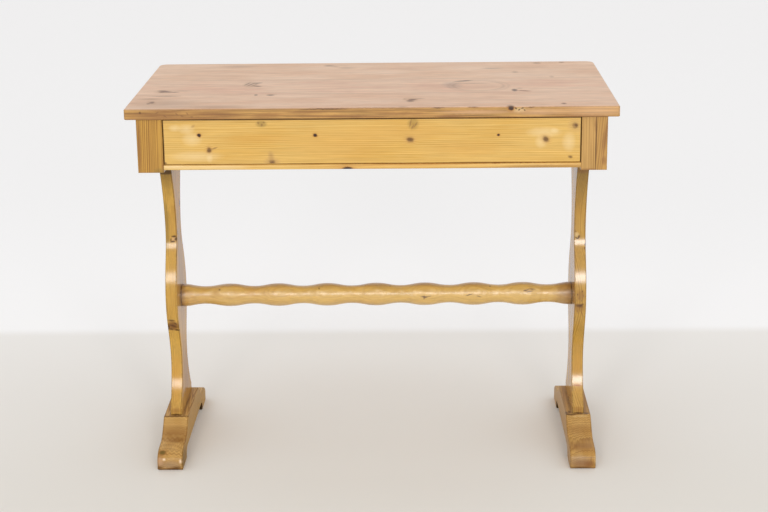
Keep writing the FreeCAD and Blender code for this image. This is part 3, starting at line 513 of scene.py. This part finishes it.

# Rail under the drawer: rounded by wear, more orange than the drawer front. The umber bands along its lower edge are
# painted shade under its rounded underside, and the pale spots on its left part are a painted highlight.
dress("drawer_rail", pineMaterial(
    "waxedPine_drawer_rail", "drawer_rail", grain="x", heart=(0, -300, 760), ring=3.6, ringShow=0.6,
    earlyHex="#E0B86A", lateHex="#BC8636", tintHex="#CE9646", tint=0.4, spots=front(
        ("blackKnot", (-46.9, -244, 642.2), (22, 12, 9)), ("rust", (240, -246, 651.2), (16, 8, 2.2)),
        ("umber", (-330, -246, 640.5), (60, 10, 1.8)), ("umber", (200, -246, 640.5), (200, 10, 1.8)),
        ("rust", (170, -245, 651.6), (330, 5, 1.5)), ("amber", (-100, -246, 646), (60, 10, 5)),
        ("bleach", (-360, -247, 646), (70, 12, 6)), ("bleach", (-385, -247, 648), (30, 12, 4)),
        ("bleach", (-285, -247, 646), (60, 12, 6)), ("umber", (330, -246, 644), (120, 10, 5)))))
print("case done")

# The drawer's front: clean pine under wax, polished by hands. Honey yellow, straight fine grain, small round knots.
dress("drawer_front", pineMaterial(
    "handPolishedPine_drawer_front", "drawer_front", grain="x", heart=(0, -235, 990), lean=(0.15, 0.35), ring=3.1,
    late=0.30, ringShow=0.9, waver=3.0, taper=0.006, earlyHex="#D8B162", lateHex="#B98430", tintHex="#CE9E3C",
    tint=0.3, bandShow=0.07, hairShow=0.08, arris=(1.6, "#9A6A2C", 0.35),
    spots=front(
        ("blackKnot", (-331.2, 709.5), (8, 10, 7.5)), ("plumKnot", (-313.1, 680.2), (11, 14, 13.5)),
        ("hairline", (-303, 684), (9, 5, 1.8), -20), ("softKnot", (-192.4, 657.5), (19, 12, 9)),
        ("faint", (-194, 668), (8, 8, 12), -8), ("speck", (-192, 655.3), (7, 6, 2.6)),
        ("hairline", (-210, 729), (2.8, 5, 3.6), 30), ("hairline", (-217, 733), (2.8, 5, 3.6), -20),
        ("hairline", (-206, 734), (2.8, 5, 2.8)), ("olive", (-211, 731), (13, 8, 8)),
        ("blackKnot", (-108.1, 708.3), (8.5, 10, 7.5)), ("faint", (-342.1, 727.4), (6, 5, 3.5), -30),
        ("plumKnot", (73.8, 698.6), (17, 14, 12), 8), ("olive", (80, 729), (13, 8, 14), 8),
        ("hairline", (75, 731), (1.7, 5, 11), 14), ("hairline", (84, 727), (1.7, 5, 9), 35),
        ("hairline", (79, 724), (1.7, 5, 7), 25), ("blackKnot", (243.0, 706.4), (5.5, 9, 5)),
        ("plumKnot", (333.6, 697.7), (12.5, 14, 15.5), -40), ("softKnot", (389.4, 723.9), (17, 12, 17), -30),
        ("speck", (391.5, 724), (4, 5, 5), -30), ("speck", (381.1, 662.9), (6, 6, 4), 15),
        ("bleach", (330, 711), (38, 12, 12)), ("bleach", (325, 692), (14, 12, 14)),
        ("bleach", (350, 714), (10, 12, 6)), ("bleach", (-355, 722), (18, 12, 12)),
        ("bleach", (-345, 702), (22, 12, 16)), ("bleach", (-378, 724), (14, 12, 8)),
        ("bleach", (-340, 668), (60, 12, 12)), ("bleach", (-313, 666), (7, 12, 12)),
        ("bleach", (378, 692), (15, 12, 22)), ("speck", (-399, 655), (5, 8, 3.5)),
        ("amber", (-60, 690), (110, 12, 40)), ("amber", (60, 715), (120, 12, 24)),
        ("amber", (-215, 702), (90, 12, 10)), ("amber", (180, 680), (90, 12, 20)),
        ("joint", (-400.5, 696), (2.0, 6, 90)), ("joint", (400.5, 696), (1.6, 6, 90)),
        # the dark line along the top edge is the joint, widened as painted shadow under the top
        ("joint", (0, 739.5), (900, 5, 1.7)), y=faces["case"])))

# Drawer sides, back and bottom: pine that never had a finish, grey-tan with age, matt.
barePine = {"ring": 3.8, "ringShow": 0.7, "earlyHex": "#CDAE80", "lateHex": "#A67C48", "tintHex": "#B5936A",
            "tint": 0.5, "bandShow": 0.10, "hairShow": 0.10, "rough": 0.68, "coat": 0.0, "bump": 0.08, "waver": 4}
drawer = {
    "drawer_side_left": {"grain": "y", "heart": (-600, 0, 800), "arris": (1.5, "#8A6840", 0.4)},
    "drawer_side_right": {"grain": "y", "heart": (640, 30, 580), "arris": (1.5, "#8A6840", 0.4)},
    "drawer_back": {"grain": "x", "heart": (0, 330, 820), "arris": (1.5, "#8A6840", 0.4)},
    "drawer_bottom": {
        "grain": "x", "heart": (0, -20, 560), "ring": 5.0, "lean": (0.3, 0.4),
        "spots": lay(
            ("softKnot", (-140, 40, 667), (30, 34, 14)), ("brownKnot", (210, -70, 667), (24, 24, 14)),
            ("faint", (60, 90, 667), (60, 40, 10)), ("seam", (0, -30, 664), (900, 1.6, 8)),
            ("seam", (0, 90, 664), (900, 1.6, 8)))},
    "drawer_runner_left": {"grain": "y", "heart": (-450, 0, 500)},
    "drawer_runner_right": {"grain": "y", "heart": (470, 20, 520)},
    "drawer_guide_left": {"grain": "y", "heart": (-380, 0, 560)},
    "drawer_guide_right": {"grain": "y", "heart": (350, 0, 540)},
    "drawer_kicker_left": {"grain": "y", "heart": (-500, 0, 830)},
    "drawer_kicker_right": {"grain": "y", "heart": (440, 0, 850)},
    "drawer_stops": {"grain": "x", "heart": (0, -150, 600)},
    "corner_blocks": {"grain": "z", "heart": (0, 120, 690)},
    "top_glue_blocks": {"grain": "x", "heart": (0, 60, 640)},
    "post_dowels": {"grain": "z", "heart": (0, -200, 700)},
}
for piece, look in drawer.items():
    dress(piece, pineMaterial("barePine_" + piece, piece, **{**barePine, **look}))
print("drawer done")

# The base: end boards, feet and stretcher.
# Pine under a thick old varnish: golden to olive brown, glossy enough to mirror the lamps as soft white spots.
baseVarnish = {"ring": 3.0, "late": 0.38, "ringShow": 0.6, "waver": 4, "earlyHex": "#C69C4A", "lateHex": "#986A26",
               "tintHex": "#AE7E34", "tint": 0.45, "rough": 0.45, "gloss": 0.15, "coat": 0.75, "coatRough": 0.17,
               "coatIor": 1.6, "bump": 0.02, "dents": (26, 0.5)}
boardLook = {**baseVarnish, "grain": "z", "late": 0.3, "ringShow": 0.75, "ior": 1.2,
             "flank": ("#BC8B46", 0.6, 0.0, 0.09)}
base = {
    "end_board_left": {
        **boardLook, "heart": (-620, -60, 350), "lean": (0.5, 0.5), "coat": 0.55, "earlyHex": "#CFA44E",
        "rim": (-423.7, 12, 3.0, "#6A5220", 0.8),
        "spots": front(
            ("pink", (-418, -47.8, 447), (7, 14, 6)), ("crack", (-413.8, -47.5, 447.4), (4.2, 8, 5), 10),
            ("crack", (-418.6, -47, 452.7), (7, 8, 3.0), -4), ("crack", (-421, -48.5, 441.8), (7, 8, 2.8), -8),
            ("speck", (-424.8, -48, 445.4), (2.6, 8, 5))
        ) + [("crack", (-411.7, -36, 459), (2, 6, 7), (30, 0, 0))] + front(
            ("umber", (-424, -79, 268), (16, 16, 17)), ("bark", (-424, -79, 267), (15, 16, 13), 12),
            ("speck", (-426, -83.5, 280.5), (10, 8, 3), 6), ("speck", (-424, -78, 267), (13, 8, 4), 24),
            ("crack", (-434, -77, 263), (3, 8, 9), 10), ("speck", (-429, -75.5, 258.6), (8, 8, 3.4), 14),
            ("crack", (-416.5, -74, 256.4), (8, 8, 3), 4), ("speck", (-419, -80, 273), (6, 8, 2.4), 30),
            # painted shade and painted shadow below the case, at the board's head
            ("shade", (-424, -70, 612), (24, 90, 80)), ("shade", (-424, -100, 604), (24, 40, 14)),
            ("deep", (-424, -87, 602), (40, 10, 11)), ("amber", (-424, -60, 150), (16, 60, 60)),
            ("amber", (-424, -60, 140), (16, 60, 60)), ("umber", (-411.7, 10, 140), (4, 90, 80)),
            ("olive", (-432, -50, 480), (6, 40, 70)), ("crack", (-424, -95, 73.5), (17, 8, 4.2)),
            ("joint", (-424, -70, 635), (16, 40, 5)), ("umber", (-424, -98, 84), (14, 8, 12)),
            ("brownKnot", (-411.7, 10, 510), (14, 22, 22)), ("brownKnot", (-435.7, -20, 200), (14, 20, 24)),
            ("softKnot", (-423.7, 30, 420), (40, 26, 30)), ("grey", (-411.7, -12, 360), (5, 70, 160)))},
    "end_board_right": {
        **boardLook, "heart": (600, 10, 350), "lean": (-2.2, 1.6), "taper": 0.03, "ringShow": 0.8, "coat": 0.88,
        "earlyHex": "#BE9442", "lateHex": "#8C6220", "rim": (423.7, 12, 3.0, "#6A5220", 0.8),
        "spots": front(
            ("bleach", (417, -47.4, 452), (6.5, 8, 7)), ("crack", (421.5, -47.4, 446.5), (2.8, 8, 5.4), 25),
            ("crack", (417.5, -47.4, 444.4), (4.4, 8, 1.6), 25), ("hairline", (414.5, -47.4, 458), (4.5, 6, 1.8), 30),
            ("hairline", (413, -47.4, 447), (2, 6, 3)), ("crack", (434.5, -52.8, 432), (2.2, 5, 4)),
            ("speck", (433.4, -54, 424), (3, 5, 4)), ("speck", (431, -53, 440), (3, 5, 3)),
            ("speck", (421, -89.6, 310), (11, 12, 5), 12), ("speck", (426, -89.6, 312), (7, 12, 3), -20),
            ("umber", (422, -89.6, 306), (14, 14, 12)), ("umber", (424, -88, 332), (12, 8, 16)),
            ("hairline", (419, -88, 296), (1.6, 8, 9), -14), ("hairline", (428, -88, 292), (1.6, 8, 12), -22),
            ("hairline", (421, -88, 326), (1.6, 6, 5), 20), ("hairline", (430, -88, 331), (1.6, 6, 5), -20),
            ("hairline", (416, -88, 322), (1.6, 6, 4), -20), ("hairline", (426, -88, 321), (1.6, 6, 4), 10),
            ("speck", (418, -88, 334), (1.8, 6, 3)), ("speck", (427, -88, 341), (1.8, 6, 3)),
            ("rust", (423, -68.3, 127.3), (15, 6, 2.0)), ("hairline", (423, -66, 154), (2, 8, 14), 8),
            # painted shade below the case at the board's head, with painted shadow in the umber spot under it
            ("crack", (424, -64, 165), (1.5, 8, 16), 10), ("shade", (424, -70, 612), (24, 90, 120)),
            ("umber", (424, -84, 597), (40, 13, 10)), ("amber", (424, -60, 180), (16, 60, 70)),
            ("amber", (424, -60, 140), (16, 60, 60)), ("crack", (424, -95, 73.5), (17, 8, 4.2)),
            ("joint", (424, -70, 635), (16, 40, 5)), ("umber", (424, -98, 82), (14, 8, 9)),
            ("brownKnot", (435.7, 24, 240), (14, 22, 24)), ("softKnot", (423.7, -24, 540), (40, 24, 30)),
            ("grey", (411.7, -12, 360), (5, 70, 160)))},
    "foot_left": {
        **baseVarnish, "grain": "y", "heart": (-430, -60, -70), "lean": (1.0, 0.6), "ring": 3.4, "taper": 0.03,
        "ringShow": 1.0, "waver": 5, "ripple": (10, 1.25), "earlyHex": "#C89F5E", "lateHex": "#8C6434", "coat": 0.22,
        "coatRough": 0.25, "ior": 1.2, "flank": ("#B58C48", 0.82, 0.2, 0.38),
        "rim": (-423.7, 26.2, 3.4, "#56391A", 0.9),
        # painted light on this foot: shade along the creases by the end board, shadow under the arch, highlights on
        # the toe and shade low on the inner side
        "spots": lay(
            ("oliveKnot", (-440, -204, 36.5), (17, 15, 13)), ("joint", (-424, -98.5, 73), (60, 2.6, 4)),
            ("dust", (-410.2, -14, 73), (4, 110, 8)), ("dust", (-437.4, -14, 73), (4, 110, 8)),
            ("cove", (-424, -139, 58), (60, 26, 15)), ("cove", (-414, -156, 44), (26, 16, 9), 12),
            ("cove", (-424, -148, 51), (60, 24, 15)), ("soot", (-424, 112, 2), (60, 22, 24)),
            ("soot", (-424, -140, 2), (60, 18, 22)), ("umber", (-444, -212, 20), (10, 12, 20)),
            ("pink", (-445, -214, 18), (9, 10, 12)), ("worn", (-436, -214, 23), (4.5, 6, 4)),
            ("worn", (-402, -214, 19), (5, 7, 6)), ("grey", (-424, -215, 12), (30, 10, 12)),
            ("speck", (-446, -214, 4), (12, 10, 8)), ("speck", (-410, -214, 5), (14, 10, 6), 20),
            ("speck", (-420, -215, 2), (30, 8, 5)), ("umber", (-424, -14, 1), (40, 220, 7)),
            ("shade", (-397.5, -200, 16), (3, 60, 40)), ("umber", (-424, -122, 64), (40, 8, 5)))},
    "foot_right": {
        **baseVarnish, "grain": "y", "heart": (436, -90, -60), "lean": (-1.2, -0.5), "taper": 0.03, "ringShow": 0.7,
        "waver": 6, "ripple": (7, 0.4), "earlyHex": "#BE9658", "lateHex": "#825A2C", "coat": 0.25, "coatRough": 0.3,
        "ior": 1.3, "flank": ("#AF854C", 0.72, 0.5, 0.38), "rim": (423.7, 26.2, 2.8, "#56391A", 0.85),
        # painted light on this foot: shade along the creases by the end board and shadow under the arch
        "spots": lay(
            ("joint", (408, -98.5, 73), (17, 3.2, 4)), ("dust", (410.2, -14, 73), (4, 110, 8)),
            ("speck", (400, -90, 73), (5, 14, 6), 20), ("speck", (406, -86, 73), (4, 12, 6)),
            ("bleach", (424, -104, 72), (26, 5, 4)), ("crack", (441, -92, 73), (8, 5, 4)),
            ("dust", (437.4, -14, 73), (4, 110, 8)), ("cove", (424, -142, 57), (60, 26, 14)),
            ("umber", (434, -160, 48), (22, 14, 12)), ("umber", (424, -188, 38), (36, 26, 16)),
            ("cove", (440, -158, 46), (18, 10, 6)), ("soot", (424, 112, 2), (60, 22, 24)),
            ("soot", (424, -140, 2), (60, 18, 22)), ("grey", (418, -214, 16), (30, 10, 16)),
            ("umber", (436, -214, 10), (12, 8, 10)), ("umber", (424, -214, 10), (34, 8, 12)),
            ("umber", (414, -150, 52), (12, 16, 10)), ("bleach", (449, -213, 20), (3, 8, 14)),
            ("hairline", (440, -214, 18), (1.6, 8, 12), 8), ("speck", (420, -215, 2), (34, 8, 4)),
            ("umber", (424, -14, 1), (40, 220, 7)))},
    "stretcher": {
        **baseVarnish, "grain": "x", "heart": (0, 160, 200), "lean": (0.7, 0.5), "taper": 0.02,
        "ringShow": 0.34, "waver": 6, "earlyHex": "#D8B060", "lateHex": "#B07E34", "tintHex": "#C4944A", "coat": 1.0,
        "coatRough": 0.30, "gloss": 0.55, "rough": 0.38, "dents": (17, 5.0),
        "spots": front(
            ("speck", (100, -38, 315.2), (9, 12, 2.4)), ("speck", (105, -38, 314), (7, 12, 2.2), -12),
            ("speck", (101, -38, 313), (2.4, 12, 5.5), 8), ("hairline", (112, -38, 316), (6, 10, 1.6), -8),
            ("crack", (195.0, -38, 318.5), (9, 10, 1.6), -18), ("speck", (216, -38, 315), (7, 10, 1.4), 12),
            ("crack", (316, -36, 327.6), (9, 14, 1.5), -16), ("crack", (329, -36, 328.6), (8, 14, 1.4), 8),
            ("speck", (322, -36, 324.4), (11, 14, 1.4), -4), ("faint", (322, -36, 326.5), (14, 14, 5), -4),
            ("speck", (-411.7, -14, 314), (3.6, 300, 300)), ("speck", (411.7, -14, 314), (4.2, 300, 300)),
            ("umber", (404, -14, 314), (34, 300, 300)), ("umber", (-410, -14, 314), (10, 300, 300)),
            ("speck", (-330, -30, 330), (3, 12, 2)), ("speck", (-270, -28, 334), (3, 12, 2)),
            ("speck", (-120, -30, 332), (2.5, 12, 2)), ("speck", (30, -28, 334), (3, 12, 2)),
            ("speck", (62, -28, 334), (2.5, 12, 2)), ("speck", (240, -28, 333), (3, 12, 2)),
            ("umber", (0, -14, 339), (700, 20, 9)), ("umber", (0, -14, 289), (700, 20, 7)),
            ("softKnot", (-120, 6, 335), (16, 14, 10)))},
    "foot_pegs": {**baseVarnish, "heart": (0, -90, 30), "earlyHex": "#B08040", "lateHex": "#7A5020"},
    "stretcher_wedges": {**baseVarnish, "heart": (0, 60, 250), "earlyHex": "#B08040", "lateHex": "#7A5020"},
}
for piece, look in base.items():
    dress(piece, pineMaterial("varnishedPine_" + piece, piece, **look))
print("base done")

# Screws and nails: drawn iron wire, dulled brown-grey by age. Still metal, with darker rust blotches a few mm across.
iron = {"hex": "#8C867E", "rustHex": "#5A4030", "metal": 0.9, "rough": (0.38, 0.7),
        "blotches": 420,                                    # per metre
        "rustFrom": (0.4, 0.62), "roughFrom": (0.3, 0.7)}   # noise values where they start and are complete
agedIron = bpy.data.materials.new("agedIron")
agedIron.use_nodes = True
ironTree = agedIron.node_tree
ironTree.nodes.clear()
ironPlace = addNode(ironTree, "TexCoord", {}, "Object")
blotch = addNode(ironTree, "TexNoise", {"Vector": ironPlace, "Scale": iron["blotches"], "Detail": 3.0}, "Fac")
start, full = iron["rustFrom"]
ironMix = addNode(ironTree, "MapRange", {"Value": blotch, "From Min": start, "From Max": full})
ironColour = addNode(ironTree, "Mix", {
    "data_type": "RGBA", 0: ironMix, 6: linear(iron["hex"]), 7: linear(iron["rustHex"])}, 2)
start, full = iron["roughFrom"]
smooth, pitted = iron["rough"]
ironRough = addNode(ironTree, "MapRange", {
    "Value": blotch, "From Min": start, "From Max": full, "To Min": smooth, "To Max": pitted})
ironShader = addNode(ironTree, "BsdfPrincipled", {
    "Base Color": ironColour, "Metallic": iron["metal"], "Roughness": ironRough})
ironTree.links.new(ironShader, ironTree.nodes.new("ShaderNodeOutputMaterial").inputs["Surface"])
for piece in ("kicker_screws", "end_board_screws", "drawer_bottom_nails"):
    dress(piece, agedIron)
print("screws and nails done")

# The floor: matt paint, one pale plane that lightens towards the back and turns white far behind the table.
# Distances in metres, from where a change starts to where it is complete.
room = {"half": 20.0, "whiteAt": (0.63, 0.70), "farAt": (-0.4, 0.63), "floorHex": "#E1DED8", "farHex": "#F1EFEC",
        "whiteHex": "#F4F4F5", "whiteGlow": 0.08, "rough": 0.8}
corners = np.array([(-1, -1, 0), (1, -1, 0), (1, 1, 0), (-1, 1, 0)]) * room["half"]
floorMesh = bpy.data.meshes.new("floor")
floorMesh.from_pydata(corners.tolist(), [], [(0, 1, 2, 3)])
floor = bpy.data.objects.new("floor", floorMesh)
bpy.context.scene.collection.objects.link(floor)
paint = bpy.data.materials.new("palePaint")
paint.use_nodes = True
paintTree = paint.node_tree
paintTree.nodes.clear()
depth = addNode(paintTree, "SeparateXYZ", {0: addNode(paintTree, "TexCoord", {}, "Object")}, 1)
start, full = room["whiteAt"]
beyond = addNode(paintTree, "MapRange", {
    "interpolation_type": "SMOOTHSTEP", "Value": depth, "From Min": start, "From Max": full})
start, full = room["farAt"]
farther = addNode(paintTree, "MapRange", {"Value": depth, "From Min": start, "From Max": full})
paintColour = addNode(paintTree, "Mix", {
    "data_type": "RGBA", 0: farther, 6: linear(room["floorHex"]), 7: linear(room["farHex"])}, 2)
paintColour = addNode(paintTree, "Mix", {
    "data_type": "RGBA", 0: beyond, 6: paintColour, 7: linear(room["whiteHex"])}, 2)
glow = addNode(paintTree, "Math", {"operation": "MULTIPLY", 0: beyond, 1: room["whiteGlow"]})
paintShader = addNode(paintTree, "BsdfPrincipled", {
    "Base Color": paintColour, "Roughness": room["rough"], "Emission Color": (1, 1, 1, 1), "Emission Strength": glow})
paintTree.links.new(paintShader, paintTree.nodes.new("ShaderNodeOutputMaterial").inputs["Surface"])
floorMesh.materials.append(paint)

# The light: a white room, and a soft lamp on each side of the camera.
world = bpy.data.worlds.new("whiteRoom")
bpy.context.scene.world = world
world.use_nodes = True
whiteRoom = {"hex": "#FFFEFD", "strength": 0.86}
background = world.node_tree.nodes["Background"]
background.inputs["Color"].default_value = linear(whiteRoom["hex"])
background.inputs["Strength"].default_value = whiteRoom["strength"]

lampAim = (0, 0, 0.42)
lamps = {
    "lampLeft": {"at": (-0.9, -3.5, 1.82), "side": 0.8, "watts": 24},
    "lampRight": {"at": (0.9, -3.5, 1.64), "side": 0.8, "watts": 26},
}
for name, lamp in lamps.items():
    data = bpy.data.lights.new(name, "AREA")
    data.shape, data.size, data.energy = "DISK", lamp["side"], lamp["watts"]
    bulb = bpy.data.objects.new(name, data)
    bulb.location = lamp["at"]
    bulb.rotation_euler = (Vector(lampAim) - Vector(lamp["at"])).to_track_quat("-Z", "Y").to_euler()
    bulb.visible_camera = False
    bpy.context.scene.collection.objects.link(bulb)

# The camera stands where the photograph was taken from.
shot = {"at": (0.0763, -3.4011, 1.3898), "yaw": -0.9994, "pitch": 16.3216, "roll": 0.6163,
        "lens": 78.73, "sensor": 36, "farthest": 100}
cameraData = bpy.data.cameras.new("camera")
cameraData.lens, cameraData.sensor_width = shot["lens"], shot["sensor"]
cameraData.clip_end = shot["farthest"]
camera = bpy.data.objects.new("camera", cameraData)
camera.matrix_world = (Matrix.Translation(shot["at"]) @ Matrix.Rotation(math.radians(-shot["yaw"]), 4, "Z")
                       @ Matrix.Rotation(math.radians(90 - shot["pitch"]), 4, "X")
                       @ Matrix.Rotation(math.radians(-shot["roll"]), 4, "Z"))
bpy.context.scene.collection.objects.link(camera)
bpy.context.scene.camera = camera
bpy.context.scene.view_settings.view_transform = "Standard"
print("room, lamps and camera done")
